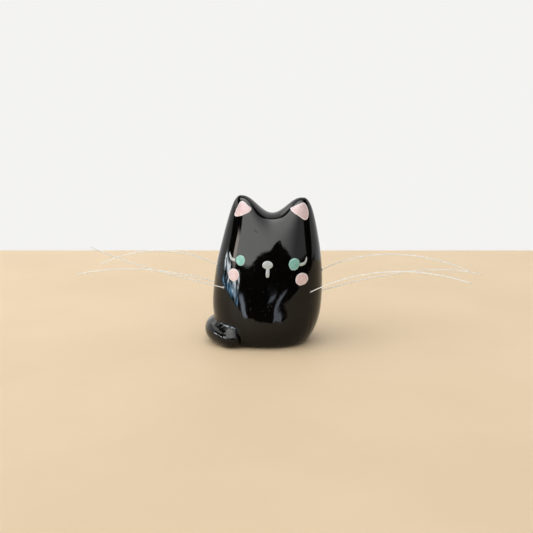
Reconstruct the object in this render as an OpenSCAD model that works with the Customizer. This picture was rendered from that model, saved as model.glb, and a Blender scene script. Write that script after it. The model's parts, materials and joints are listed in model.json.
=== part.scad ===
// Seated cat figurine in glazed ceramic with clear nylon whiskers.
// The cat faces -Y and stands on the plane z = 0. +X is its own left, so the
// left_ pieces lie at +X and the right_ pieces, with the tail, at -X.

/* [Body] */
// Height of the saddle between the ears
body_h = 40; // [36:0.1:44]
// Width across the belly
body_w = 34; // [31:0.2:35]
// Depth across the belly, front to back
body_d = 28; // [26:0.2:30]
// How far the head leans to the cat's left
lean = 1.95; // [0:0.05:3]
// How much the left side sits lower than the right, as a slope at full height
droop = 0.037; // [0:0.001:0.06]

/* [Ears] */
// Height of the ear tips over the saddle
ear_rise = 5; // [3:0.1:7]
// Distance between the ear tips
ear_gap = 18.3; // [15:0.1:18.6]
// Length of the ridge that carries both ears
ridge_w = 19.4; // [18.8:0.1:20.2]

/* [Hollow and foot] */
// Thickness of the clay wall
wall = 3; // [2:0.1:3.6]
// Thickness of the slab that closes the foot
slab_t = 2.4; // [2:0.1:2.6]
// Radius of the slab
slab_r = 7.3; // [6:0.1:8]
// Radius of the kiln vent through the slab
vent_r = 1.25; // [0.8:0.05:1.6]
// Distance of the vent from the middle of the slab
vent_offset = 4; // [3:0.1:4.5]

/* [Tail] */
// Thickness of the tail halfway along
tail_w = 7.2; // [6:0.1:8]
// Thickness of the tail near its tip
tail_tip_w = 5.7; // [5:0.1:6]
// Distance of the tail's middle line from the cat's axis, sideways
tail_side = 16.3; // [14.8:0.1:17]
// Distance of the tail's middle line from the cat's axis, front to back
tail_front = 15; // [14:0.1:16]

/* [Face] */
// Height of the eye line
eye_line = 26.3; // [24:0.1:29]
// Distance between the middles of the eyes
eye_gap = 16.1; // [14:0.1:17]
// Width of the right eye
right_eye_w = 2.8; // [2.4:0.1:3.6]
// Width of the left eye
left_eye_w = 3.3; // [2.4:0.1:3.6]
// Height of an eye as a share of its width
eye_tall = 1.12; // [1:0.02:1.2]
// Height of the cheek line
cheek_line = 21.8; // [20:0.1:22.4]
// Distance between the middles of the cheeks
cheek_gap = 20.5; // [19:0.1:21]
// Width of the right cheek dot
right_cheek_w = 3.3; // [3:0.1:4.4]
// Width of the left cheek dot
left_cheek_w = 3.9; // [3:0.1:4.4]
// Height of a cheek dot
cheek_h = 3.8; // [3:0.1:4]
// Width of the nose
nose_w = 3.2; // [2.6:0.1:4]
// Height of the nose
nose_h = 2.4; // [2:0.1:3]
// Length of the mouth line below the nose
mouth_h = 2.5; // [2:0.1:3.4]
// Width of the mouth line
mouth_w = 1.1; // [0.8:0.05:1.5]
// How far the face turns clockwise as its onlooker sees it, in degrees
face_turn = 2.3; // [0:0.1:4]
// How far the painted dots stand out of the glaze
paint_t = 0.16; // [0.1:0.02:0.24]

/* [Whiskers] */
// Diameter of the nylon line
line_d = 0.3; // [0.2:0.05:0.4]
// Diameter of the holes for the whiskers
hole_d = 0.9; // [0.8:0.05:1.2]
// Length of line held in the adhesive
seat_l = 2.4; // [2:0.1:2.8]

/* [Hidden] */

// Control rows of the body's side view, from the foot to the ridge: height,
// half width, half depth and ear lift, each as a share of its full size.
ridge_share = ridge_w / body_w;
PROFILE = [
  [0.000, 0.665, 0.700, 0.00],
  [0.000, 0.750, 0.800, 0.00],
  [0.030, 0.820, 0.965, 0.00],
  [0.115, 0.937, 1.068, 0.00],
  [0.262, 1.012, 1.014, 0.00],
  [0.438, 1.002, 0.954, 0.00],
  [0.612, 0.966, 0.877, 0.00],
  [0.775, 0.885, 0.772, 0.10],
  [0.900, 0.789, 0.632, 0.51],
  [0.978, 0.699, 0.398, 0.90],
  [1.011, ridge_share, 0.000, 1.06],
];
LAST = len(PROFILE) - 1;
// The rows go on past both ends, so that the curve starts at the foot's edge
// and crosses the ridge squarely.
ROWS = concat(
  [2 * PROFILE[0] - PROFILE[1]],
  PROFILE,
  [[PROFILE[LAST - 1][0], 2 * ridge_share - PROFILE[LAST - 1][1],
    -PROFILE[LAST - 1][2], PROFILE[LAST - 1][3]]]
);
full_h = body_h + ear_rise;
// Exponent of the body's rounded-square sections
section_power = 2.1;
around = 48;
ridge_gap = 0.03;
clearance = 0.05;

// Control points of each ear's patch, as side offset and height, from the
// ear's point and anticlockwise as the onlooker sees it
RIGHT_PATCH = [[-9.3, 44], [-10.9, 41.4], [-11.7, 38.7], [-8.4, 39.7], [-5.8, 41.3], [-7.5, 42.7]];
LEFT_PATCH = [[9.9, 44.1], [7.2, 43], [4.9, 41.8], [7.7, 40.2], [10.4, 38.2], [11.4, 40.7]];

// Each whisker: side, angle of its hole forward of the cat's side, height of
// the hole, forward sweep, angle of rise at the root, angle at the tip, how
// late it bends, and free length
WHISKERS = [
  [-1,  11, 23.8,  4, 28, -26, 1.0, 37],
  [-1, -11, 17.4, -8, 13, -14, 1.3, 46],
  [-1,  37, 17.9, 14, 17,  29, 3.0, 42],
  [ 1,   8, 22.7,  4, 30, -24, 0.8, 47],
  [ 1, -11, 14.9, -8, 14, -14, 1.8, 54],
  [ 1,  41, 17.1, 14, 29, -17, 1.0, 49],
];

// The cubic spline through the control rows, u = 0 at the foot
function spline_row(u) =
  let (
    i = min(floor(u), LAST - 1),
    f = u - i,
    w0 = pow(1 - f, 3),
    w1 = 3 * pow(f, 3) - 6 * f * f + 4,
    w2 = -3 * pow(f, 3) + 3 * f * f + 3 * f + 1,
    w3 = pow(f, 3),
    r = (w0 * ROWS[i] + w1 * ROWS[i + 1] + w2 * ROWS[i + 2] + w3 * ROWS[i + 3]) / 6
  )
  [r[0] * body_h, r[1] * body_w / 2, r[2] * body_d / 2, r[3] * ear_rise];

function ease(s) = let (c = max(0, min(1, s))) c * c * (3 - 2 * c);
// 0 at the saddle and 1 from the ear tips outwards
function ear_share(x) = (1 - cos(180 * min(abs(x) / (ear_gap / 2), 1))) / 2;
// The body is drawn upright and symmetric, then leant over
function leant(p) =
  [p[0] + lean * ease(p[2] / full_h), p[1], p[2] - droop * p[0] * p[2] / full_h];

function rounded(v) = sign(v) * pow(abs(v), 2 / section_power);
function ring(row, angle) =
  let (x = row[1] * rounded(cos(angle)))
  [x, -row[2] * rounded(sin(angle)), row[0] + row[3] * ear_share(x)];

// The spline parameter whose ring has the height z at the side offset x
function u_at(x, z, low = 0, high = LAST, step = 26) =
  step == 0 ? (low + high) / 2 :
  let (mid = (low + high) / 2, r = spline_row(mid))
  r[0] + r[3] * ear_share(x) < z ?
    u_at(x, z, mid, high, step - 1) : u_at(x, z, low, mid, step - 1);

function front_at(x, z) =
  let (r = spline_row(u_at(x, z)))
  [x, -r[2] * pow(1 - pow(abs(x) / r[1], section_power), 1 / section_power), z];

// A point on the face side of the body, raised by lift along the surface normal
function on_front(x, z, lift) =
  let (
    d = 0.05,
    p = leant(front_at(x, z)),
    across = leant(front_at(x + d, z)) - leant(front_at(x - d, z)),
    up = leant(front_at(x, z + d)) - leant(front_at(x, z - d)),
    n = cross(across, up)
  )
  p + lift * n / norm(n);

nose_z = eye_line - 0.55;
// How far each feature sits to the cat's right of the middle line
eye_shift = 0.8;
cheek_shift = 0.4;
nose_shift = 0.7;
mouth_shift = 0.5;
// A place on the face, dx from its middle line, turned with the face
function on_face(dx, z, shift) = [dx - shift, z - dx * tan(face_turn)];

// Faces between stacked rings of n points each, closed round
function ring_faces(first, count, n) =
  [for (j = [0:count - 2], i = [0:n - 1])
    let (a = first + j * n, k = (i + 1) % n)
    [a + k, a + n + k, a + n + i, a + i]];

// A strip that closes a ring of n points whose two sides mirror each other
function strip_faces(first, n, flip) =
  [for (i = [0:n / 2 - 1])
    let (f = [first + i, first + i + 1, first + n - i - 1, first + (n - i) % n])
    flip ? [f[3], f[2], f[1], f[0]] : f];

function skin_rings(from, to, step, scale_by) =
  [for (u = [from:step:to], i = [0:around - 1])
    let (p = leant(ring(spline_row(u), 360 * i / around)))
    [p[0] * scale_by[0], p[1] * scale_by[1], p[2] * scale_by[2]]];

function circle_ring(r, z) =
  [for (i = [0:around - 1]) [r * cos(360 * i / around), -r * sin(360 * i / around), z]];

// The outer skin alone, closed flat across the foot
module skin_solid() {
  points = skin_rings(0, LAST - ridge_gap, (LAST - ridge_gap) / 40, [1, 1, 1]);
  count = len(points) / around;
  polyhedron(
    points,
    concat(
      ring_faces(0, count, around),
      strip_faces((count - 1) * around, around, false),
      strip_faces(0, around, true)
    ),
    convexity = 6
  );
}

// The skin, the foot's recess and the hollow inside it as one closed surface
module hollow_form() {
  shrink = [1 - wall / (body_w / 2), 1 - wall / (body_d / 2), 1 - 1.2 * wall / body_h];
  recess_r = slab_r + 0.1;
  ledge_r = slab_r - 1.2;
  ledge_z = slab_t + 1.2;
  hollow_u = 2.75;
  outer = skin_rings(0, LAST - ridge_gap, (LAST - ridge_gap) / 40, [1, 1, 1]);
  inner = skin_rings(hollow_u, LAST - ridge_gap, (LAST - ridge_gap - hollow_u) / 16, shrink);
  recess = concat(
    circle_ring(ledge_r, ledge_z), circle_ring(ledge_r, slab_t),
    circle_ring(recess_r, slab_t), circle_ring(recess_r, 0)
  );
  turned = [for (j = [len(inner) / around - 1:-1:0], i = [0:around - 1]) inner[j * around + i]];
  points = concat(turned, recess, outer);
  count = len(points) / around;
  polyhedron(
    points,
    concat(
      ring_faces(0, count, around),
      strip_faces((count - 1) * around, around, false),
      strip_faces(0, around, true)
    ),
    convexity = 10
  );
}

// Where a whisker leaves the body, and the way it points there
function root(w) =
  let (r = spline_row(u_at(full_h, w[2])), angle = w[0] > 0 ? w[1] : 180 - w[1])
  leant([r[1] * rounded(cos(angle)), -r[2] * rounded(sin(angle)), w[2]]);
function sweep_way(w) = [w[0] * cos(w[3]), -sin(w[3]), 0];

// Sets its children's +Z along a whisker where it leaves the body
module at_root(w) {
  way = sweep_way(w);
  translate(root(w))
    rotate([0, 0, atan2(way[1], way[0])])
      rotate([0, 90 - w[4], 0])
        children();
}

module body_shell() {
  drilled = 4.6;
  clear_of_skin = 1.4;
  color("black")
    difference() {
      hollow_form();
      for (w = WHISKERS)
        at_root(w)
          translate([0, 0, -drilled])
            cylinder(d = hole_d, h = drilled + clear_of_skin, $fn = 32);
    }
}

module base_slab() {
  color("tan")
    difference() {
      cylinder(r = slab_r, h = slab_t, $fn = 96);
      translate([vent_offset, 0, -1])
        cylinder(r = vent_r, h = slab_t + 2, $fn = 48);
    }
}

// The tail's middle line goes round the foot from the tip, at s = 0, past the
// cat's right side to the middle of its back, where it turns in and rises
function tail_angle(s) = 238 - 152 * s;
function tail_inwards(s) = 1 - 0.42 * pow(max(0, s - 0.66) / 0.34, 2);
function tail_radius(s) =
  let (full = tail_tip_w / 2 + (tail_w - tail_tip_w) / 2 * ease(s / 0.3))
  s < 0.09 ? full * sqrt(1 - pow(1 - s / 0.09, 2)) : full;
function tail_line(s) =
  let (a = tail_angle(s), k = tail_inwards(s))
  [lean / 3 + k * tail_side * cos(a), -k * tail_front * -sin(a),
   tail_w / 2 + 0.02 - (tail_w - tail_tip_w) / 2 * (1 - ease(s / 0.3)) + 3.2 * ease((s - 0.5) / 0.5)];

module tail() {
  sides = 20;
  rings = 34;
  points = [
    for (j = [0:rings])
      let (
        s = 0.004 + 0.996 * pow(j / rings, 1.25),
        c = tail_line(s),
        t = tail_line(s + 0.002) - tail_line(s - 0.002),
        out = cross(t, [0, 0, 1]) / norm(cross(t, [0, 0, 1])),
        up = cross(out, t / norm(t))
      )
      for (i = [0:sides - 1])
        c + tail_radius(s) * (cos(360 * i / sides) * out + sin(360 * i / sides) * up)
  ];
  color("black")
    difference() {
      polyhedron(
        points,
        concat(
          [[for (i = [sides - 1:-1:0]) i]],
          ring_faces(0, rings + 1, sides),
          [[for (i = [0:sides - 1]) rings * sides + i]]
        ),
        convexity = 6
      );
      skin_solid();
    }
}

function sum_of(points, k = 0) =
  k == len(points) - 1 ? points[k] : points[k] + sum_of(points, k + 1);
function oval(w, h, n = 24, power = 2) =
  [for (i = [0:n - 1])
    let (c = cos(360 * i / n), s = sin(360 * i / n))
    [w / 2 * sign(c) * pow(abs(c), 2 / power), h / 2 * sign(s) * pow(abs(s), 2 / power)]];

// A raised mark of paint. The outline lies round the middle, and the mark
// swells from its edge towards the middle.
module mark(middle, outline, rings = 3) {
  n = len(outline);
  function level(j, lift) =
    [for (p = outline) let (q = middle + p * j / rings) on_front(q[0], q[1], lift)];
  top = [for (j = [1:rings])
    each level(j, clearance + paint_t * sqrt(1 - 0.9 * pow(j / rings, 2)))];
  under = [for (j = [rings:-1:1]) each level(j, clearance)];
  points = concat(
    [on_front(middle[0], middle[1], clearance + paint_t)],
    top,
    under,
    [on_front(middle[0], middle[1], clearance)]
  );
  last = len(points) - 1;
  polyhedron(
    points,
    concat(
      [for (i = [0:n - 1]) [0, 1 + (i + 1) % n, 1 + i]],
      ring_faces(1, 2 * rings, n),
      [for (i = [0:n - 1]) [last, last - n + i, last - n + (i + 1) % n]]
    ),
    convexity = 2
  );
}

// A flick of the brush along the curve a, b, c that thins to a point
module flick(a, b, c, width) {
  steps = 10;
  across = 4;
  function middle_at(s) = (1 - s) * (1 - s) * a + 2 * s * (1 - s) * b + s * s * c;
  function edge_at(s) =
    let (t = middle_at(s + 0.01) - middle_at(s - 0.01))
    [-t[1], t[0]] / norm(t) * width / 2 * (1.04 - s);
  function level(top) =
    [for (j = [0:steps], i = [0:across])
      let (s = j / steps, k = 2 * i / across - 1, p = middle_at(s) + k * edge_at(s))
      on_front(p[0], p[1], clearance + (top ? paint_t * sqrt(1 - 0.85 * k * k) * (1 - 0.5 * s) : 0))];
  n = across + 1;
  count = (steps + 1) * n;
  function rim_pair(i, j) = [j, j + count, i + count, i];
  polyhedron(
    concat(level(true), level(false)),
    concat(
      [for (j = [0:steps - 1], i = [0:across - 1])
        let (k = j * n + i) [k, k + 1, k + n + 1, k + n]],
      [for (j = [0:steps - 1], i = [0:across - 1])
        let (k = count + j * n + i) [k, k + n, k + n + 1, k + 1]],
      [for (i = [0:across - 1]) rim_pair(i + 1, i)],
      [for (i = [0:across - 1]) rim_pair(steps * n + i, steps * n + i + 1)],
      [for (j = [0:steps - 1]) rim_pair(j * n, (j + 1) * n)],
      [for (j = [0:steps - 1]) rim_pair((j + 1) * n + across, j * n + across)]
    ),
    convexity = 2
  );
}

module eye(side, width) {
  color("mediumaquamarine")
    mark(on_face(side * eye_gap / 2, eye_line, eye_shift), oval(width, width * eye_tall));
}
module right_eye() { eye(-1, right_eye_w); }
module left_eye() { eye(1, left_eye_w); }

module eyelash(side, width) {
  start = on_face(side * (eye_gap / 2 + width / 2 + 0.12), eye_line - 0.1, eye_shift);
  bend = start + [side * 1.6, -0.5];
  tip = start + [side * 1.9, 2.1];
  color("silver") flick(start, bend, tip, 1.1);
}
module right_eyelash() { eyelash(-1, right_eye_w); }
module left_eyelash() { eyelash(1, left_eye_w); }

module cheek(side, width) {
  color("mistyrose")
    mark(on_face(side * cheek_gap / 2, cheek_line, cheek_shift), oval(width, cheek_h));
}
module right_cheek() { cheek(-1, right_cheek_w); }
module left_cheek() { cheek(1, left_cheek_w); }

module nose() {
  color("lightgray") mark(on_face(0, nose_z, nose_shift), oval(nose_w, nose_h));
}
module mouth_line() {
  top = nose_z - nose_h / 2 - 0.04;
  color("lightgray")
    mark(on_face(0, top - mouth_h / 2, mouth_shift), oval(mouth_w, mouth_h, 24, 3.2));
}

// Rounds a loop of points by cutting its corners
function cut(loop, times) =
  times == 0 ? loop :
  let (n = len(loop))
  cut(
    [for (k = [0:n - 1], share = [0.25, 0.75]) (1 - share) * loop[k] + share * loop[(k + 1) % n]],
    times - 1
  );

module ear_patch(corners) {
  middle = sum_of(corners) / len(corners);
  color("pink") mark(middle, [for (p = cut(corners, 2)) p - middle], 5);
}
module right_ear_patch() { ear_patch(RIGHT_PATCH); }
module left_ear_patch() { ear_patch(LEFT_PATCH); }

// Six beads of clear adhesive, one in each hole round its whisker
module whisker_glue() {
  proud = 0.15;
  color("whitesmoke")
    for (w = WHISKERS)
      at_root(w)
        difference() {
          translate([0, 0, -seat_l - 0.3])
            cylinder(d = hole_d - 0.02, h = seat_l + 0.3 + proud, $fn = 32);
          translate([0, 0, -seat_l - 0.1])
            cylinder(d = line_d + 0.04, h = seat_l + 1, $fn = 32);
        }
}

// The line's height angle at the share s of its free length
function whisker_angle(w, s) = w[4] + (w[5] - w[4]) * pow(s, w[6]);

module whisker(w) {
  sides = 8;
  steps = 30;
  step = w[7] / steps;
  way = sweep_way(w);
  beside = [way[1], -way[0], 0];
  free = [
    for (
      i = 0, p = root(w);
      i <= steps;
      p = p + step * (cos(whisker_angle(w, (i + 0.5) / steps)) * way
        + [0, 0, sin(whisker_angle(w, (i + 0.5) / steps))]),
      i = i + 1
    ) p
  ];
  first = cos(w[4]) * way + [0, 0, sin(w[4])];
  line = concat([free[0] - seat_l * first], free);
  angles = concat([w[4]], [for (i = [0:steps]) whisker_angle(w, i / steps)]);
  points = [
    for (j = [0:len(line) - 1])
      let (over = -sin(angles[j]) * way + [0, 0, cos(angles[j])])
      for (i = [0:sides - 1])
        line[j] + line_d / 2 * (cos(360 * i / sides) * beside + sin(360 * i / sides) * over)
  ];
  color("whitesmoke")
    polyhedron(
      points,
      concat(
        [[for (i = [sides - 1:-1:0]) i]],
        ring_faces(0, len(line), sides),
        [[for (i = [0:sides - 1]) (len(line) - 1) * sides + i]]
      ),
      convexity = 4
    );
}

body_shell();
base_slab();
tail();
right_ear_patch();
left_ear_patch();
right_eye();
left_eye();
right_eyelash();
left_eyelash();
right_cheek();
left_cheek();
nose();
mouth_line();
whisker_glue();
whisker(WHISKERS[0]);  // whisker_right_upper
whisker(WHISKERS[1]);  // whisker_right_rear
whisker(WHISKERS[2]);  // whisker_right_front
whisker(WHISKERS[3]);  // whisker_left_upper
whisker(WHISKERS[4]);  // whisker_left_rear
whisker(WHISKERS[5]);  // whisker_left_front
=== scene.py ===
"""A seated cat figurine: black glazed ceramic, enamel face and clear nylon whiskers.

The cat faces -Y. Shapes are worked out in millimetres and turned into metres when
their mesh is made. right_ and left_ are the cat's own sides: its left is at +X.
"""

import json
import math

import bmesh
import bpy
import numpy as np
from mathutils import Matrix, Vector
from mathutils.bvhtree import BVHTree


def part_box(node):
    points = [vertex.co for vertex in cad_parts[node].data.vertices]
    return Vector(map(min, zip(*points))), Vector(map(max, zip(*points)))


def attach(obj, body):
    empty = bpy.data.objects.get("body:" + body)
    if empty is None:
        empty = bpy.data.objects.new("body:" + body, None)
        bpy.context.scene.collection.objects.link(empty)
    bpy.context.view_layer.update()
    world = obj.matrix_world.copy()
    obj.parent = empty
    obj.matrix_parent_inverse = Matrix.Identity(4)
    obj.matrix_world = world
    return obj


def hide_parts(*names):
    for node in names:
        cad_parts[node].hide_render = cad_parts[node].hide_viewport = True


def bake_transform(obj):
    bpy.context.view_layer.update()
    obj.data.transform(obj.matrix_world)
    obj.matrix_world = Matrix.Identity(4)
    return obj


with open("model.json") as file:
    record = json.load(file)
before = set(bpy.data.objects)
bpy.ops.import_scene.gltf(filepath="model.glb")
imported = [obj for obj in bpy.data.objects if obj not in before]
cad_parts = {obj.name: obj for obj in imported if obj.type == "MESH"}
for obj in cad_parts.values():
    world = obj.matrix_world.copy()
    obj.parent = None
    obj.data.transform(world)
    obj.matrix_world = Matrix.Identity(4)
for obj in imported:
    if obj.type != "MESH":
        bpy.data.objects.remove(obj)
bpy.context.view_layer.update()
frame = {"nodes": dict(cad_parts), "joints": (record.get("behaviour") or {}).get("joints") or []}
MM = 0.001

# The body: upright height, width and depth, how far its ears rise and stand apart,
# the width of its crest, how far it leans to its left and how much that side droops
BODY_H = 40.0
BODY_W = 34.0
BODY_D = 28.0
EAR_RISE = 5.0
EAR_GAP = 18.3
RIDGE_W = 19.4
LEAN = 1.95
DROOP = 0.037
WALL = 3.0
FULL_H = BODY_H + EAR_RISE
# Height, half width, half depth and ear lift, as shares of their full sizes, from the
# foot up to the crest
PROFILE = np.array([
    [0.000, 0.665, 0.700, 0.00],
    [0.000, 0.750, 0.800, 0.00],
    [0.030, 0.820, 0.965, 0.00],
    [0.115, 0.937, 1.068, 0.00],
    [0.262, 1.012, 1.014, 0.00],
    [0.438, 1.002, 0.954, 0.00],
    [0.612, 0.966, 0.877, 0.00],
    [0.775, 0.885, 0.772, 0.10],
    [0.900, 0.789, 0.632, 0.51],
    [0.978, 0.699, 0.398, 0.90],
    [1.011, RIDGE_W / BODY_W, 0.000, 1.06],
])
LAST = len(PROFILE) - 1
# How much a section swells at its corners over an ellipse
SQUARENESS = 0.0166
AROUND = 288
# Slow unevenness of the hand-made form: direction, wavelength in mm, phase
WAVES = [
    ((1.0, 0.2, 0.5), 13.0, 0.4),
    ((-0.5, 0.3, 1.0), 9.5, 2.1),
    ((0.7, -0.6, -0.9), 7.2, 4.0),
    ((-0.9, 0.1, 0.3), 5.6, 1.2),
]
WAVE_DEPTH = 0.06

# The foot: a recess that holds the slab against a ledge
RECESS_R = 7.4
LEDGE_R = 6.1
LEDGE_Z = 3.6
# How far past the recess the foot's bare clay reaches
FOOT_RING = 3
SLAB_T = 2.4
SLAB_R = 7.3
VENT_R = 1.25
VENT_OFFSET = 4.0

# The tail: its width along the side and at its tip, how far out from the body's
# middle it runs at the side and in front, the turn it makes and its rise at the back
TAIL_W = 7.2
TAIL_TIP_W = 5.7
TAIL_SIDE = 16.3
TAIL_FRONT = 15.0
TAIL_START_DEG = 238
TAIL_SWEEP_DEG = 152
TAIL_RISE = 3.2
# How far along the tail its taper and its rounded tip reach
TAIL_TAPER = 0.3
TAIL_ROUND = 0.09
# How far along the tail its end starts to turn in, and how far in it turns
TAIL_TURN = 0.66
TAIL_TURN_IN = 0.42
TAIL_WAVE_DEPTH = 0.05
TAIL_SIDES = 64
TAIL_RINGS = 150
# A hair's breadth that keeps pieces off the ground plane
OFF_GROUND = 0.02
# How wide the glaze rounds off the crease between tail and body
CREASE = 1.5

# The enamel: how high it swells, how far it sinks in, and an eyelash's full width
PAINT_T = 0.17
PAINT_SINK = 0.05
LASH_W = 1.12
# How far the mouth's upper end reaches under the nose
MOUTH_TUCK = 0.45

# Each whisker: angle of rise at its root, angle at its tip, how late it bends, and
# its free length
WHISKERS = {
    "right_upper": (28, -26, 1.0, 37),
    "right_rear": (13, -14, 1.3, 46),
    "right_front": (17, 29, 3.0, 42),
    "left_upper": (30, -24, 0.8, 47),
    "left_rear": (14, -14, 1.8, 54),
    "left_front": (29, -17, 1.0, 49),
}
LINE_D = 0.3
# How much of a whisker sits in its hole
SEAT_L = 2.4


# ---------------------------------------------------------------- body surface

def spline_rows(u):
    """The profile's rows in mm at the spline parameters u, 0 at the foot."""
    # One more row at each end lets the smooth curve reach the first and the last
    past = [PROFILE[-2][0], 2 * PROFILE[-1][1] - PROFILE[-2][1], -PROFILE[-2][2], PROFILE[-2][3]]
    rows = np.vstack([2 * PROFILE[0] - PROFILE[1], PROFILE, past])
    u = np.asarray(u, float)
    i = np.minimum(np.floor(u).astype(int), LAST - 1)
    f = (u - i)[:, None]
    shares = (
        (1 - f) ** 3 * rows[i]
        + (3 * f ** 3 - 6 * f ** 2 + 4) * rows[i + 1]
        + (-3 * f ** 3 + 3 * f ** 2 + 3 * f + 1) * rows[i + 2]
        + f ** 3 * rows[i + 3]
    ) / 6
    return shares * [BODY_H, BODY_W / 2, BODY_D / 2, EAR_RISE]


def ease(s):
    """A smooth step from 0 to 1."""
    s = np.clip(s, 0, 1)
    return s * s * (3 - 2 * s)


def leant(points):
    """Leans upright, symmetric points over to the cat's left."""
    x, y, z = points[..., 0], points[..., 1], points[..., 2]
    return np.stack([x + LEAN * ease(z / FULL_H), y, z - DROOP * x * z / FULL_H], axis=-1)


def skin_rings(u):
    """Rings of the outer skin before it is leant, as an array of rings of points."""
    rows = spline_rows(u)[:, None, :]
    angle = np.linspace(0, 2 * math.pi, AROUND, endpoint=False)[None, :]
    swell = 1 + SQUARENESS * np.sin(2 * angle) ** 2
    x = rows[..., 1] * np.cos(angle) * swell
    y = -rows[..., 2] * np.sin(angle) * swell
    ear = (1 - np.cos(math.pi * np.minimum(np.abs(x) / (EAR_GAP / 2), 1))) / 2
    return np.stack([x, y, rows[..., 0] + rows[..., 3] * ear], axis=-1)


def grid_normals(rings):
    """Outward unit normals of closed rings of points."""
    along = np.roll(rings, -1, axis=1) - np.roll(rings, 1, axis=1)
    up = np.gradient(rings, axis=0)
    n = np.cross(up, along)
    return n / np.maximum(np.linalg.norm(n, axis=-1, keepdims=True), 1e-9)


def unevenness(points):
    """A smooth value from 0 to 1 that wanders over the form."""
    total = np.zeros(points.shape[:-1])
    for way, length, phase in WAVES:
        way = np.array(way) / np.linalg.norm(way)
        total += np.sin(points @ way * 2 * math.pi / length + phase)
    return 0.5 + 0.5 * total / len(WAVES)


def body_depth(points):
    """About how far points near the lower body lie outside its skin, in mm, and the
    way outwards there."""
    lower_rows = 6
    table = spline_rows(np.linspace(0, lower_rows, 241))

    def share(p):
        """0 on the skin and more outside, as a share of the body's half width."""
        z = p[..., 2]
        x = p[..., 0] - LEAN * ease(z / FULL_H)
        z = np.clip(z + DROOP * x * z / FULL_H, 0, None)
        half_w = np.interp(z, table[:, 0], table[:, 1])
        half_d = np.interp(z, table[:, 0], table[:, 2])
        return np.hypot(x / half_w, p[..., 1] / half_d) - 1

    step = 0.05
    value = share(points)
    slope = np.stack([(share(points + move) - share(points - move)) / (2 * step)
                      for move in step * np.eye(3)], axis=-1)
    size = np.maximum(np.linalg.norm(slope, axis=-1), 1e-6)
    return value / size, slope / size[..., None]


def crease_fill(apart):
    """How far a surface moves out where it is apart mm from the one it is joined to."""
    near = np.maximum(CREASE - np.abs(apart), 0) / CREASE
    return near ** 2 * CREASE / 4


# ---------------------------------------------------------------- tail surface

def tail_line(s):
    """The tail's middle line, from its tip at s = 0 round the cat's right side to its back."""
    s = np.asarray(s, float)
    angle = np.radians(TAIL_START_DEG - TAIL_SWEEP_DEG * s)
    inwards = 1 - TAIL_TURN_IN * (np.maximum(0, s - TAIL_TURN) / (1 - TAIL_TURN)) ** 2
    thin = (TAIL_W - TAIL_TIP_W) / 2 * (1 - ease(s / TAIL_TAPER))
    z = TAIL_W / 2 + OFF_GROUND - thin + TAIL_RISE * ease((s - 0.5) / 0.5)
    return np.stack([
        LEAN / 3 + inwards * TAIL_SIDE * np.cos(angle),
        inwards * TAIL_FRONT * np.sin(angle),
        z,
    ], axis=-1)


def tail_radius(s):
    """The tail's radius in mm, rounded off at its tip."""
    full = TAIL_TIP_W / 2 + (TAIL_W - TAIL_TIP_W) / 2 * ease(s / TAIL_TAPER)
    return full * np.sqrt(1 - np.maximum(1 - s / TAIL_ROUND, 0) ** 2)


def tail_distance(points):
    """How far points lie outside the tail's tube, in mm."""
    s = np.linspace(0.05, 0.97, 140)
    line = tail_line(s)
    apart = np.linalg.norm(points[..., None, :] - line, axis=-1) - tail_radius(s)
    return apart.min(axis=-1)


# ---------------------------------------------------------------- mesh helpers

def ring_faces(rings, columns, closed=True):
    """Faces between stacked rings of columns points."""
    last = columns if closed else columns - 1
    return [
        (j * columns + i, (j + 1) * columns + i,
         (j + 1) * columns + (i + 1) % columns, j * columns + (i + 1) % columns)
        for j in range(rings - 1) for i in range(last)
    ]


def closing_faces(rings, columns):
    """Faces from the last of stacked rings back to the first."""
    last = (rings - 1) * columns
    return [(last + i, i, (i + 1) % columns, last + (i + 1) % columns) for i in range(columns)]


def make_piece(name, points, faces, materials, pick=None, edge=None, merge=0.0):
    """A smooth closed mesh from points in mm. pick gives a face's material by its middle,
    edge gives each point's nearness to a mark's rim, and points within merge mm join."""
    mesh = bpy.data.meshes.new(name)
    mesh.from_pydata((np.asarray(points, float) * MM).tolist(), [], faces)
    if edge is not None:
        attribute = mesh.attributes.new("edge", "FLOAT", "POINT")
        attribute.data.foreach_set("value", np.asarray(edge, np.float32))
    bm = bmesh.new()
    bm.from_mesh(mesh)
    if merge:
        bmesh.ops.remove_doubles(bm, verts=bm.verts, dist=merge * MM)
    bmesh.ops.recalc_face_normals(bm, faces=bm.faces)
    bm.to_mesh(mesh)
    bm.free()
    for material in materials:
        mesh.materials.append(material)
    for face in mesh.polygons:
        face.use_smooth = True
        if pick:
            face.material_index = pick(face.center / MM)
    piece = bpy.data.objects.new(name, mesh)
    bpy.context.scene.collection.objects.link(piece)
    return piece


# ---------------------------------------------------------------- materials

def new_material(name):
    """A material, its node tree and its surface node."""
    material = bpy.data.materials.new(name)
    material.use_nodes = True
    return material, material.node_tree, material.node_tree.nodes["Principled BSDF"]


def add_node(tree, kind, inputs=(), **settings):
    """A node with its settings, its inputs set from values or linked from sockets."""
    node = tree.nodes.new(kind)
    for key, value in settings.items():
        setattr(node, key, value)
    for key, value in dict(inputs).items():
        if isinstance(value, bpy.types.NodeSocket):
            tree.links.new(value, node.inputs[key])
        else:
            node.inputs[key].default_value = value
    return node


def noise(tree, size, detail=3.0, roughness=0.5):
    """Noise over the object, its blotches about size mm wide."""
    where = add_node(tree, "ShaderNodeTexCoord").outputs["Object"]
    return add_node(tree, "ShaderNodeTexNoise", {
        "Vector": where, "Scale": 1 / (size * MM), "Detail": detail, "Roughness": roughness,
    }).outputs["Fac"]


def cells(tree, size):
    """Distance to the nearest of scattered points about size mm apart, 0 at a point."""
    where = add_node(tree, "ShaderNodeTexCoord").outputs["Object"]
    return add_node(tree, "ShaderNodeTexVoronoi", {
        "Vector": where, "Scale": 1 / (size * MM),
    }).outputs["Distance"]


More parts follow.
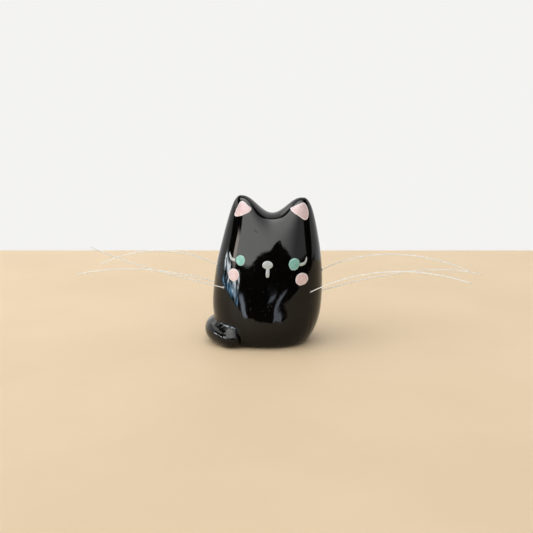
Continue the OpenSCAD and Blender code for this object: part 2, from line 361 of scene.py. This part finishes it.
def math_node(tree, operation, a, b=0.0, c=0.0):
    """operation on up to three values."""
    return add_node(tree, "ShaderNodeMath", {0: a, 1: b, 2: c}, operation=operation).outputs[0]


def times(tree, a, b):
    """a multiplied by b."""
    return math_node(tree, "MULTIPLY", a, b)


def stretch(tree, value, low, high, to_low=0.0, to_high=1.0):
    """value eased from the range low..high to the range to_low..to_high."""
    return add_node(tree, "ShaderNodeMapRange", {
        "Value": value, "From Min": low, "From Max": high, "To Min": to_low, "To Max": to_high,
    }, interpolation_type="SMOOTHSTEP").outputs["Result"]


def mix_colour(tree, share, a, b):
    """Colour a turned into colour b by share."""
    node = add_node(tree, "ShaderNodeMix", data_type="RGBA")
    for socket, value in ((0, share), (6, a), (7, b)):
        if isinstance(value, bpy.types.NodeSocket):
            tree.links.new(value, node.inputs[socket])
        else:
            node.inputs[socket].default_value = value if socket == 0 else (*value, 1)
    return node.outputs[2]


def bump(tree, height, depth, below=None):
    """A bump depth mm high, on top of the normal below."""
    inputs = {"Height": height, "Strength": 1.0, "Distance": depth * MM}
    if below is not None:
        inputs["Normal"] = below
    return add_node(tree, "ShaderNodeBump", inputs).outputs["Normal"]


def glaze_runs(tree):
    """Upright runs low on the form, where the glaze gathered on its way down to the foot."""
    where = add_node(tree, "ShaderNodeTexCoord").outputs["Object"]
    x, y, z = add_node(tree, "ShaderNodeSeparateXYZ", {0: where}).outputs
    squeezed = times(tree, z, 0.12)
    drawn_out = add_node(tree, "ShaderNodeCombineXYZ", {0: x, 1: y, 2: squeezed}).outputs[0]
    runs = add_node(tree, "ShaderNodeTexNoise", {
        "Vector": drawn_out, "Scale": 1 / (2.6 * MM), "Detail": 1.0,
    }).outputs["Fac"]
    thick = stretch(tree, runs, 0.45, 0.7)
    low_down = stretch(tree, z, 5 * MM, 14 * MM, 1, 0)
    return times(tree, thick, low_down)


def black_glaze():
    """Deep gloss with slight orange peel, pinholes, runs and a little dust."""
    material, tree, bsdf = new_material("black_glaze")
    cloud = noise(tree, 3.0)
    colour = mix_colour(tree, cloud, (0.0010, 0.0010, 0.0012), (0.0030, 0.0026, 0.0022))
    specks = stretch(tree, cells(tree, 0.9), 0.05, 0.09, 1, 0)
    dusty_places = stretch(tree, noise(tree, 2.2), 0.56, 0.62)
    dust = times(tree, specks, dusty_places)
    tree.links.new(mix_colour(tree, dust, colour, (0.16, 0.155, 0.15)), bsdf.inputs["Base Color"])
    sheen = stretch(tree, noise(tree, 1.7), 0.3, 0.7, 0.035, 0.075)
    tree.links.new(math_node(tree, "ADD", sheen, times(tree, dust, 0.4)), bsdf.inputs["Roughness"])
    peel = bump(tree, noise(tree, 1.8, 1.0), 0.006)
    pits = stretch(tree, cells(tree, 2.3), 0.0, 0.06)
    pitted = bump(tree, pits, 0.05, peel)
    tree.links.new(bump(tree, glaze_runs(tree), 0.07, pitted), bsdf.inputs["Normal"])
    bsdf.inputs["IOR"].default_value = 1.32
    return material


def enamel(name, colour, pale, rim):
    """Brushed-on enamel with fine speckle, paler towards its edge."""
    material, tree, bsdf = new_material(name)
    grain = stretch(tree, noise(tree, 0.45, 4.0, 0.7), 0.38, 0.66)
    cloud = stretch(tree, noise(tree, 1.3, 2.0), 0.35, 0.65)
    ground = mix_colour(tree, times(tree, grain, 0.55), colour, pale)
    ground = mix_colour(tree, times(tree, cloud, 0.3), ground, pale)
    edge = add_node(tree, "ShaderNodeAttribute", attribute_name="edge").outputs["Fac"]
    at_rim = times(tree, stretch(tree, edge, 0.78, 0.97), 0.6)
    tree.links.new(mix_colour(tree, at_rim, ground, rim), bsdf.inputs["Base Color"])
    tree.links.new(stretch(tree, grain, 0, 1, 0.3, 0.46), bsdf.inputs["Roughness"])
    tree.links.new(bump(tree, noise(tree, 0.35, 4.0, 0.65), 0.02), bsdf.inputs["Normal"])
    return material


def bare_clay():
    """Unglazed buff stoneware with grog and kiln toning."""
    material, tree, bsdf = new_material("bare_clay")
    toning = stretch(tree, noise(tree, 6.0), 0.35, 0.65)
    colour = mix_colour(tree, toning, (0.52, 0.40, 0.29), (0.66, 0.55, 0.43))
    grog = stretch(tree, cells(tree, 0.7), 0.08, 0.16, 0.5, 0.0)
    tree.links.new(mix_colour(tree, grog, colour, (0.22, 0.15, 0.10)), bsdf.inputs["Base Color"])
    tree.links.new(stretch(tree, noise(tree, 0.5), 0.3, 0.7, 0.75, 0.92), bsdf.inputs["Roughness"])
    tree.links.new(bump(tree, noise(tree, 0.3, 5.0, 0.7), 0.06), bsdf.inputs["Normal"])
    return material


def clear_nylon():
    """Milky clear monofilament with faint drawing marks."""
    material, tree, bsdf = new_material("nylon_line")
    haze = stretch(tree, noise(tree, 0.8), 0.3, 0.7)
    tree.links.new(mix_colour(tree, haze, (0.96, 0.96, 0.95), (1.0, 1.0, 0.99)),
                   bsdf.inputs["Base Color"])
    tree.links.new(stretch(tree, haze, 0, 1, 0.5, 0.65), bsdf.inputs["Roughness"])
    tree.links.new(bump(tree, noise(tree, 0.12), 0.002), bsdf.inputs["Normal"])
    bsdf.inputs["Transmission Weight"].default_value = 0.08
    bsdf.inputs["Specular IOR Level"].default_value = 0.15
    bsdf.inputs["IOR"].default_value = 1.53
    return material


def clear_adhesive():
    """Set drops of clear glue with a few bubbles."""
    material, tree, bsdf = new_material("clear_adhesive")
    bubbles = stretch(tree, cells(tree, 0.25), 0.1, 0.25)
    tree.links.new(mix_colour(tree, bubbles, (0.9, 0.9, 0.88), (0.74, 0.76, 0.76)),
                   bsdf.inputs["Base Color"])
    tree.links.new(stretch(tree, noise(tree, 0.4), 0.3, 0.7, 0.05, 0.16), bsdf.inputs["Roughness"])
    tree.links.new(bump(tree, bubbles, 0.008), bsdf.inputs["Normal"])
    bsdf.inputs["Transmission Weight"].default_value = 0.8
    bsdf.inputs["IOR"].default_value = 1.5
    return material


def pale_floor():
    """A plain pale table top of a warm tone."""
    material, tree, bsdf = new_material("pale_floor")
    tone = stretch(tree, noise(tree, 60.0), 0.3, 0.7)
    tree.links.new(mix_colour(tree, tone, (0.72, 0.55, 0.35), (0.76, 0.585, 0.38)),
                   bsdf.inputs["Base Color"])
    bsdf.inputs["Roughness"].default_value = 0.6
    return material


# ---------------------------------------------------------------- pieces

def body_skin():
    """The outer skin's rings in mm: leant, slightly uneven, rounded into the tail."""
    shoulder = 7.5
    tail_top = 16
    u = np.concatenate([np.linspace(0, shoulder, 150), np.linspace(shoulder, LAST, 81)[1:]])
    rings = leant(skin_rings(u))
    z = rings[..., 2]
    # The unevenness fades out at the foot and at the crest
    uneven = ease((z - 0.4) / 2.5) * (1 - ease(u[:, None] - (LAST - 1)))
    dent = WAVE_DEPTH * (1 - unevenness(rings)) * uneven
    fill = np.where(z < tail_top, crease_fill(tail_distance(rings)), 0)
    return rings + grid_normals(rings) * (fill - dent)[..., None]


def body(glaze, clay, skin):
    """The glazed shell with its bare foot ring, recess and hollow."""
    hollow_floor = 2.75
    inside = skin_rings(np.linspace(LAST, hollow_floor, 40))
    shrink = [1 - WALL / (BODY_W / 2), 1 - WALL / (BODY_D / 2), 1 - 1.2 * WALL / BODY_H]
    hollow = leant(inside) * shrink
    angle = np.linspace(0, 2 * math.pi, AROUND, endpoint=False)
    circle = np.stack([np.cos(angle), -np.sin(angle), np.zeros(AROUND)], axis=-1)
    rounding = 0.35
    foot = [
        circle * LEDGE_R + [0, 0, LEDGE_Z],
        circle * LEDGE_R + [0, 0, SLAB_T],
        circle * RECESS_R + [0, 0, SLAB_T],
        circle * RECESS_R + [0, 0, rounding],
        circle * (RECESS_R + 0.1) + [0, 0, 0.1],
        circle * (RECESS_R + rounding) + [0, 0, 0],
    ]
    # The foot stays flat up to a little inside its rounded edge
    edge_in = skin[0] * [0.985, 0.985, 1]
    rings = np.concatenate([hollow, np.array(foot), edge_in[None], skin])

    def pick(middle):
        within = math.hypot(middle.x, middle.y) < RECESS_R + FOOT_RING
        return 1 if within and middle.z < LEDGE_Z else 0

    return make_piece("body_shell_glazed", rings.reshape(-1, 3), ring_faces(len(rings), AROUND),
                      [glaze, clay], pick, merge=0.001)


def base_slab(clay):
    """The disc that closes the foot, with its vent and rounded edges."""
    sides = 96
    soft = 0.25
    outer = [(SLAB_R - soft, SLAB_T), (SLAB_R, SLAB_T - soft), (SLAB_R, soft),
             (SLAB_R - soft, OFF_GROUND)]
    inner = [(VENT_R + soft, OFF_GROUND), (VENT_R, soft), (VENT_R, SLAB_T - soft),
             (VENT_R + soft, SLAB_T)]
    angle = np.linspace(0, 2 * math.pi, sides, endpoint=False)

    def circle(middle_x, r, z):
        return np.stack([middle_x + r * np.cos(angle), r * np.sin(angle), np.full(sides, z)], axis=-1)

    rings = [circle(0, r, z) for r, z in outer]
    bore = [circle(VENT_OFFSET, r, z) for r, z in inner]
    # Turning marks: shallow rings on the underside
    between = 8
    groove = 0.05
    edge = rings[-1]
    for k in range(1, between):
        share = k / between
        ring = edge * (1 - share) + bore[0] * share
        ring[:, 2] += groove * (k % 2)
        rings.append(ring)
    rings += bore
    rings = np.array(rings)
    faces = ring_faces(len(rings), sides) + closing_faces(len(rings), sides)
    return make_piece("base_slab_fired", rings.reshape(-1, 3), faces, [clay])


def tail(glaze):
    """The tail's glazed roll, which the glaze rounds into the body."""
    # The rings lie closer together towards the rounded tip
    s = np.linspace(0, 1, TAIL_RINGS) ** 1.25
    s[0] = 0.0005
    middle = tail_line(s)
    step = 0.002
    ahead = tail_line(s + step) - tail_line(s - step)
    ahead /= np.linalg.norm(ahead, axis=-1, keepdims=True)
    out = np.cross(ahead, [0, 0, 1])
    out /= np.linalg.norm(out, axis=-1, keepdims=True)
    up = np.cross(out, ahead)
    angle = np.linspace(0, 2 * math.pi, TAIL_SIDES, endpoint=False)
    way = np.cos(angle)[None, :, None] * out[:, None] + np.sin(angle)[None, :, None] * up[:, None]
    rings = middle[:, None] + tail_radius(s)[:, None, None] * way
    apart, _ = body_depth(rings)
    fill = crease_fill(apart) * ease(rings[..., 2] / CREASE)
    # Its waves are shorter than the body's
    dent = TAIL_WAVE_DEPTH * unevenness(rings * 1.4)
    rings = rings + way * (fill - dent)[..., None]
    # No point of the tail lies deeper than this in the body's wall
    sunk = 0.5
    apart, outwards = body_depth(rings)
    rings += outwards * np.maximum(-sunk - apart, 0)[..., None]
    rings[..., 2] = np.maximum(rings[..., 2], OFF_GROUND)
    points = np.concatenate([rings.reshape(-1, 3), [tail_line(0.0)], [rings[-1].mean(axis=0)]])
    faces = ring_faces(TAIL_RINGS, TAIL_SIDES)
    tip = TAIL_RINGS * TAIL_SIDES
    last = (TAIL_RINGS - 1) * TAIL_SIDES
    for i in range(TAIL_SIDES):
        k = (i + 1) % TAIL_SIDES
        faces += [(tip, i, k), (tip + 1, last + k, last + i)]
    return make_piece("tail_glazed", points, faces, [glaze], merge=0.0005)


class Front:
    """The face side of the finished skin, for laying enamel on it."""

    def __init__(self, skin):
        points = skin.reshape(-1, 3)
        self.tree = BVHTree.FromPolygons(points.tolist(), ring_faces(len(skin), AROUND))

    def at(self, x, z, lift):
        """The point lift mm above the skin at x and z."""
        well_before = Vector((x, -80, z))
        spot, normal, _, _ = self.tree.ray_cast(well_before, Vector((0, 1, 0)))
        if normal.y > 0:
            normal = -normal
        return spot + normal * lift


def node_outline(node, count=72):
    """count points evenly round the front outline of a CAD node, as x and z in mm."""
    vertices = frame["nodes"][node].data.vertices
    flat = sorted({(round(v.co.x / MM, 4), round(v.co.z / MM, 4)) for v in vertices})

    def half(points):
        """Half of the convex outline round points in order."""
        chain = []
        for p in points:
            while len(chain) > 1 and (
                (chain[-1][0] - chain[-2][0]) * (p[1] - chain[-2][1])
                - (chain[-1][1] - chain[-2][1]) * (p[0] - chain[-2][0])
            ) <= 0:
                chain.pop()
            chain.append(p)
        return chain[:-1]

    hull = np.array(half(flat) + half(flat[::-1]))
    loop = np.vstack([hull, hull[:1]])
    run = np.concatenate([[0], np.cumsum(np.linalg.norm(np.diff(loop, axis=0), axis=1))])
    at = np.linspace(0, run[-1], count, endpoint=False)
    return np.stack([np.interp(at, run, loop[:, k]) for k in (0, 1)], axis=-1)


def enamel_mark(node, material, front, seed, tuck=0.0):
    """A swelling drop of enamel over a CAD node's outline, with a slightly uneven edge.
    tuck is how far in mm its upper end reaches under the mark above it."""
    outline = node_outline(node)
    tall = outline[:, 1].max() - outline[:, 1].min()
    outline[:, 1] += tuck * (outline[:, 1] - outline[:, 1].min()) / tall
    middle = outline.mean(axis=0)
    count = len(outline)
    turn = np.linspace(0, 2 * math.pi, count, endpoint=False)
    wobble = 0.98 + 0.014 * np.sin(3 * turn + seed) + 0.010 * np.sin(7 * turn + 2.3 * seed)
    # How far out from the middle, and the height over the skin: over the top, then below
    levels = [(share, PAINT_T * math.sqrt(1 - share ** 3.2))
              for share in (0.12, 0.3, 0.5, 0.66, 0.78, 0.87, 0.93, 0.97, 1.0)]
    levels += [(share, -PAINT_SINK) for share in (1.0, 0.66, 0.3)]
    points = [front.at(middle[0], middle[1], PAINT_T)]
    edge = [0.0]
    for share, lift in levels:
        for p, w in zip(outline, wobble):
            q = middle + (p - middle) * share * w
            points.append(front.at(q[0], q[1], lift))
            edge.append(share)
    points.append(front.at(middle[0], middle[1], -PAINT_SINK))
    edge.append(0.0)
    faces = [(a + 1, b + 1, c + 1, d + 1) for a, b, c, d in ring_faces(len(levels), count)]
    last = len(points) - 1
    for i in range(count):
        k = (i + 1) % count
        faces += [(0, 1 + i, 1 + k), (last, last - count + k, last - count + i)]
    return make_piece(node + "_enamel", points, faces, [material], edge=edge)


def eyelash(side, node, material, front):
    """A flick of the brush that starts beside the eye and thins to a point."""
    low, high = (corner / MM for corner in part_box(node))
    inner, outer = (low.x, high.x) if side > 0 else (high.x, low.x)
    width = outer - inner
    height = high.z - low.z
    # Level at first, then up to the tip
    start = np.array([inner + 0.06 * width, low.z + 0.22 * height])
    bend = np.array([inner + 0.95 * width, low.z + 0.10 * height])
    tip = np.array([inner + 0.97 * width, high.z])
    steps = 28
    across = 8
    edge_sink = 0.005
    points = []
    edge = []
    for top in (1, 0):
        for j in range(steps + 1):
            s = j / steps
            q = (1 - s) ** 2 * start + 2 * s * (1 - s) * bend + s * s * tip
            t = 2 * (1 - s) * (bend - start) + 2 * s * (tip - bend)
            t /= np.linalg.norm(t)
            fuller = 0.8 + 0.2 * math.sin(math.pi * min(s / 0.5, 1) / 2)
            half = LASH_W / 2 * fuller * (1 - s) ** 0.55 + 0.02
            for i in range(across + 1):
                k = 2 * i / across - 1
                p = q + np.array([-t[1], t[0]]) * half * k
                swell = PAINT_T * math.sqrt(max(1 - k * k, 0)) * (1 - 0.5 * s)
                points.append(front.at(p[0], p[1], swell - edge_sink if top else -PAINT_SINK))
                edge.append(abs(k))
    columns = across + 1
    under = (steps + 1) * columns
    top_faces = ring_faces(steps + 1, columns, closed=False)
    faces = top_faces + [tuple(v + under for v in face) for face in top_faces]
    rim = list(range(columns))
    rim += [j * columns + across for j in range(1, steps + 1)]
    rim += [steps * columns + i for i in range(across - 1, -1, -1)]
    rim += [j * columns for j in range(steps - 1, 0, -1)]
    faces += [(a, b, b + under, a + under) for a, b in zip(rim, rim[1:] + rim[:1])]
    return make_piece(node + "_enamel", points, faces, [material], edge=edge)


def whisker_route(name, steps=60):
    """A whisker's points in mm from inside its hole to its tip, the way it leaves the
    body seen from above, and its angle of rise at each point."""
    rise, end, late, length = WHISKERS[name]
    joint = next(j for j in frame["joints"] if j["name"] == name + "_flex")
    root = np.array(joint["pos_m"]) / MM
    way = np.cross([0, 0, 1], joint["axis"])
    up = np.array([0, 0, 1])
    share = (np.arange(steps) + 0.5) / steps
    angle = np.radians(rise + (end - rise) * share ** late)
    move = length / steps * (np.cos(angle)[:, None] * way + np.sin(angle)[:, None] * up)
    free = root + np.vstack([np.zeros(3), np.cumsum(move, axis=0)])
    first = math.cos(math.radians(rise)) * way + math.sin(math.radians(rise)) * up
    # Two points in the hole, then the free length
    line = np.vstack([root - 0.95 * SEAT_L * first, root - 0.45 * SEAT_L * first, free])
    at = np.concatenate([[0, 0], np.arange(steps + 1) / steps])
    angles = np.radians(rise + (end - rise) * at ** late)
    return line, way, angles


def whisker(name, material):
    """One bristle of nylon line, cut off a little bluntly at its tip."""
    sides = 12
    line, way, angles = whisker_route(name)
    beside = np.cross(way, [0, 0, 1])
    turn = np.linspace(0, 2 * math.pi, sides, endpoint=False)
    points = []
    radii = np.full(len(line), LINE_D / 2)
    radii[-1] *= 0.8
    line[-1] -= 0.1 * (line[-1] - line[-2])
    for p, a, r in zip(line, angles, radii):
        over = -math.sin(a) * way + np.array([0, 0, math.cos(a)])
        points += [p + r * (math.cos(t) * beside + math.sin(t) * over) for t in turn]
    faces = ring_faces(len(line), sides)
    faces.append(tuple(range(sides)))
    faces.append(tuple(len(points) - sides + i for i in range(sides)))
    return make_piece("whisker_%s_bristle" % name, points, faces, [material])


def glue_beads(material, tree):
    """A small drop of glue round each whisker where it leaves the skin."""
    sides = 24
    # Radius and height over the skin, from the whisker outwards and back in below
    section = [(0.15, 0.30), (0.19, 0.17), (0.28, 0.09), (0.40, 0.04), (0.50, -0.02), (0.50, -0.12),
               (0.30, -0.5), (0.15, -0.5)]
    points = []
    faces = []
    for name in WHISKERS:
        line, _, _ = whisker_route(name)
        root = Vector(line[2])
        spot, normal, _, _ = tree.find_nearest(root)
        if normal.dot(Vector((root.x, root.y, 0))) < 0:
            normal = -normal
        turn = normal.to_track_quat("Z", "Y").to_matrix().to_4x4()
        stand = Matrix.Translation(spot) @ turn
        first = len(points)
        for r, h in section:
            for i in range(sides):
                a = 2 * math.pi * i / sides
                points.append(stand @ Vector((r * math.cos(a), r * math.sin(a), h)))
        bead = ring_faces(len(section), sides) + closing_faces(len(section), sides)
        faces += [tuple(v + first for v in face) for face in bead]
    return make_piece("whisker_glue_beads", points, faces, [material])


# ---------------------------------------------------------------- studio

# Light of each part of the room
DARK = (0.004, 0.004, 0.004)
BRIGHT_CEILING = (6.3, 6.3, 6.2)
DIM_CEILING = (1.2, 1.22, 1.25)
WHITE_BEHIND = (0.90, 0.91, 0.90)
SIDE_WALL = (2.4, 2.4, 2.35)
CURTAIN = (12.0, 10.6, 9.5)
LOW_SKY = (3.4, 8.5, 13.5)
HIGH_SKY = (6.6, 7.3, 7.8)
CLOUDS = (24.0, 26.0, 27.0)
TREES = (0.03, 0.03, 0.035)
FRAMES = (0.01, 0.01, 0.01)
SOFT_BELOW = (0.52, 0.52, 0.51)
SOFT_ABOVE = (0.98, 0.99, 1.01)
BACKDROP = (0.90, 0.895, 0.88)
# The windows, in degrees: a pane with its frame, and the frame alone
PANE_W = 19.0
FRAME_W = 2.2
# Small bright things in front: side, height, half width, half height, slant, strength
CARDS = [
    (18, -0.8, 5.0, 1.6, 4.0, 4.0),
    (6, 2.3, 4.0, 0.7, 2.5, 4.0),
    (-40, -0.5, 4.5, 1.8, -2.5, 7.0),
    (52, 0.5, 3.5, 1.8, -0.8, 2.5),
    (-12, 34.5, 3.0, 0.9, 2.5, 2.2),
]
CARD_TINT = (0.85, 0.95, 1.1)


def directions(tree):
    """Where a direction points, in degrees: how far round from the front to the cat's
    left, its height over the horizon, how far over the top from the front to the back,
    and how far off the middle plane. The last, a share, is how far it points up and to
    the cat's right."""
    way = add_node(tree, "ShaderNodeTexCoord").outputs["Generated"]
    x, y, z = add_node(tree, "ShaderNodeSeparateXYZ", {0: way}).outputs
    towards = times(tree, y, -1)

    def degrees(value):
        return times(tree, value, 180 / math.pi)

    side = degrees(math_node(tree, "ARCTAN2", x, towards))
    height = degrees(math_node(tree, "ARCSINE", z))
    over = degrees(math_node(tree, "ARCTAN2", z, towards))
    aside = degrees(math_node(tree, "ARCSINE", x))
    upward = math_node(tree, "SUBTRACT", z, times(tree, x, 0.7))
    return side, height, over, aside, upward


def band(tree, value, low, high, soft):
    """1 between low and high, with soft ends."""
    return times(tree, stretch(tree, value, low - soft, low + soft),
                 stretch(tree, value, high - soft, high + soft, 1, 0))


def patch(tree, side, height, sides, heights):
    """1 within a patch of the room. sides and heights each give low, high and softness."""
    return times(tree, band(tree, side, *sides), band(tree, height, *heights))


def window_view(tree, side, height):
    """Bright sky, trees and frames, as seen through a window."""
    where = add_node(tree, "ShaderNodeCombineXYZ", {
        "X": times(tree, side, 0.075), "Y": times(tree, height, 0.22),
    }).outputs[0]
    view = add_node(tree, "ShaderNodeTexNoise", {
        "Vector": where, "Scale": 1.0, "Detail": 3.0, "Distortion": 1.2,
    }).outputs["Fac"]
    sky = mix_colour(tree, stretch(tree, height, -1, 4), LOW_SKY, HIGH_SKY)
    colour = mix_colour(tree, stretch(tree, view, 0.46, 0.50), TREES, sky)
    colour = mix_colour(tree, stretch(tree, view, 0.55, 0.60), colour, CLOUDS)
    across = math_node(tree, "WRAP", side, 0.0, PANE_W)
    return mix_colour(tree, band(tree, across, 0.0, FRAME_W, 0.4), colour, FRAMES)


def ceiling_share(tree, side, height, over):
    """1 where the pale ceiling is, over the front. It ends at the dark head and
    shoulders of whoever looks at the cat, and at the sides."""
    head_side = 8
    off_head = math_node(tree, "ABSOLUTE", math_node(tree, "SUBTRACT", side, head_side))
    shoulders = stretch(tree, off_head, 0, 42, 22, 11)
    head = stretch(tree, off_head, 0, 9, 7, 0)
    outline = math_node(tree, "ADD", shoulders, head)
    lower_to_left = stretch(tree, side, 14, 46, 0, 5)
    outline = math_node(tree, "SUBTRACT", outline, lower_to_left)
    above = stretch(tree, math_node(tree, "SUBTRACT", height, outline), -0.8, 0.8)
    before_top = stretch(tree, over, 112, 115, 1, 0)
    over_front = band(tree, side, -62, 70, 2)
    high_right = times(tree, stretch(tree, height, 36, 46), band(tree, side, -88, 5, 4))
    overhead = stretch(tree, height, 56, 62)
    extent = math_node(tree, "MAXIMUM", over_front, high_right)
    extent = math_node(tree, "MAXIMUM", extent, overhead)
    return times(tree, times(tree, above, before_top), extent)


def room(tree, side, height, over, aside):
    """What the glaze mirrors: a grey ceiling above a dark front, white behind the cat,
    and a bright wall and windows to its right."""
    dimmer_to_left = stretch(tree, aside, -8, 44)
    ceiling = mix_colour(tree, dimmer_to_left, BRIGHT_CEILING, DIM_CEILING)
    light = mix_colour(tree, ceiling_share(tree, side, height, over), DARK, ceiling)
    off_front = math_node(tree, "ABSOLUTE", side)
    low_behind = times(tree, stretch(tree, off_front, 100, 108), stretch(tree, height, 30, 40, 1, 0))
    high_behind = stretch(tree, over, 119, 123)
    behind = math_node(tree, "MAXIMUM", high_behind, low_behind)
    light = mix_colour(tree, behind, light, WHITE_BEHIND)
    wall = patch(tree, side, height, (-150, -88, 4), (24, 42, 3))
    light = mix_colour(tree, wall, light, SIDE_WALL)
    panes = patch(tree, side, height, (-102, -50, 1), (-4, 7.5, 1))
    light = mix_colour(tree, panes, light, window_view(tree, side, height))
    curtain = patch(tree, side, height, (-72, -62, 1.5), (9, 19, 3))
    light = mix_colour(tree, curtain, light, CURTAIN)
    for at, level, wide, tall, slant, strength in CARDS:
        across = math_node(tree, "SUBTRACT", side, times(tree, height, slant))
        middle = at - level * slant
        card = patch(tree, across, height, (middle - wide, middle + wide, 0.6),
                     (level - tall, level + tall, 0.6))
        light = mix_colour(tree, card, light, tuple(c * strength for c in CARD_TINT))
    return light


def world_light():
    """A pale studio with soft light from all round and a room for the glaze to mirror."""
    world = bpy.data.worlds.new("studio")
    bpy.context.scene.world = world
    world.use_nodes = True
    tree = world.node_tree
    side, height, over, aside, upward = directions(tree)
    mirrored = room(tree, side, height, over, aside)
    path = add_node(tree, "ShaderNodeLightPath")
    soft = mix_colour(tree, stretch(tree, upward, -0.5, 1.1), SOFT_BELOW, SOFT_ABOVE)
    seen = mix_colour(tree, path.outputs["Is Glossy Ray"], soft, mirrored)
    seen = mix_colour(tree, path.outputs["Is Camera Ray"], seen, BACKDROP)
    background = tree.nodes["Background"]
    tree.links.new(seen, background.inputs["Color"])
    background.inputs["Strength"].default_value = 1.0


def window_fill():
    """Soft light from the cat's right that doesn't show in reflections."""
    stand = Vector((-0.45, -0.12, 0.42))
    cat_middle = Vector((0, 0, 0.02))
    data = bpy.data.lights.new("window_fill", "AREA")
    data.shape = "RECTANGLE"
    data.size = data.size_y = 0.5
    data.energy = 0.9
    data.color = (0.96, 0.98, 1.0)
    light = bpy.data.objects.new("window_fill", data)
    bpy.context.scene.collection.objects.link(light)
    light.location = stand
    light.rotation_euler = (cat_middle - stand).to_track_quat("-Z", "Y").to_euler()
    light.visible_glossy = False


def floor(material):
    """A pale table top that ends behind the cat."""
    half_width = 1.2
    front = -0.26
    back = 0.165
    drop = 0.03
    lip = 0.004
    below_cat = 0.0001
    section = [(front, 0.0), (back - lip, 0.0)]
    section += [(back - lip + lip * math.sin(a), lip * math.cos(a) - lip)
                for a in np.linspace(0.2, math.pi / 2, 6)]
    section.append((back, -drop))
    points = [(x, y, z - below_cat) for y, z in section for x in (-half_width, half_width)]
    faces = [(2 * k, 2 * k + 1, 2 * k + 3, 2 * k + 2) for k in range(len(section) - 1)]
    mesh = bpy.data.meshes.new("table_top")
    mesh.from_pydata(points, [], faces)
    mesh.materials.append(material)
    top = bpy.data.objects.new("table_top", mesh)
    bpy.context.scene.collection.objects.link(top)


def camera():
    """Looks down at the cat from the front, as from a table's edge."""
    pitch = math.radians(11)
    distance = 0.270
    target = Vector((0.00017, 0, 0.02305))
    data = bpy.data.cameras.new("camera")
    data.lens = 58.4
    data.sensor_width = 36
    data.clip_start = 0.01
    seen_from = bpy.data.objects.new("camera", data)
    seen_from.location = target + distance * Vector((0, -math.cos(pitch), math.sin(pitch)))
    seen_from.rotation_euler = (math.pi / 2 - pitch, 0, 0)
    bpy.context.scene.collection.objects.link(seen_from)
    bpy.context.scene.camera = seen_from


# ---------------------------------------------------------------- assembly

def place(piece, body_name, slot_name, *nodes):
    """Puts a piece of one material on its body in place of its nodes."""
    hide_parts(*nodes)
    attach(piece, body_name)


glaze = black_glaze()
clay = bare_clay()
nylon = clear_nylon()
glue = clear_adhesive()
mint = enamel("mint_enamel", (0.15, 0.40, 0.335), (0.33, 0.60, 0.54), (0.46, 0.70, 0.66))
pink = enamel("pink_enamel", (0.66, 0.47, 0.465), (0.80, 0.66, 0.655), (0.92, 0.88, 0.88))
grey = enamel("grey_enamel", (0.40, 0.44, 0.44), (0.56, 0.60, 0.60), (0.66, 0.70, 0.70))

skin = body_skin()
front = Front(skin)
place(body(glaze, clay, skin), "cat", "black_glaze", "body_shell")
place(base_slab(clay), "cat", "bare_clay", "base_slab")
place(tail(glaze), "cat", "black_glaze", "tail")

MARKS = {
    "right_ear_patch": (pink, "pink_enamel"),
    "left_ear_patch": (pink, "pink_enamel"),
    "right_eye": (mint, "mint_enamel"),
    "left_eye": (mint, "mint_enamel"),
    "right_cheek": (pink, "pink_enamel"),
    "left_cheek": (pink, "pink_enamel"),
    "nose": (grey, "grey_enamel"),
    "mouth_line": (grey, "grey_enamel"),
}
for seed, (node, (material, slot_name)) in enumerate(MARKS.items()):
    tuck = MOUTH_TUCK if node == "mouth_line" else 0.0
    place(enamel_mark(node, material, front, seed, tuck), "cat", slot_name, node)
for side, node in ((-1, "right_eyelash"), (1, "left_eyelash")):
    place(eyelash(side, node, grey, front), "cat", "grey_enamel", node)

place(glue_beads(glue, front.tree), "cat", "clear_adhesive", "whisker_glue")
for name in WHISKERS:
    bristle = whisker(name, nylon)
    node = "whisker_" + name
    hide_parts(node)
    line, _, _ = whisker_route(name)
    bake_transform(bristle)

world_light()
window_fill()
floor(pale_floor())
camera()
bpy.context.scene.view_settings.view_transform = "Standard"
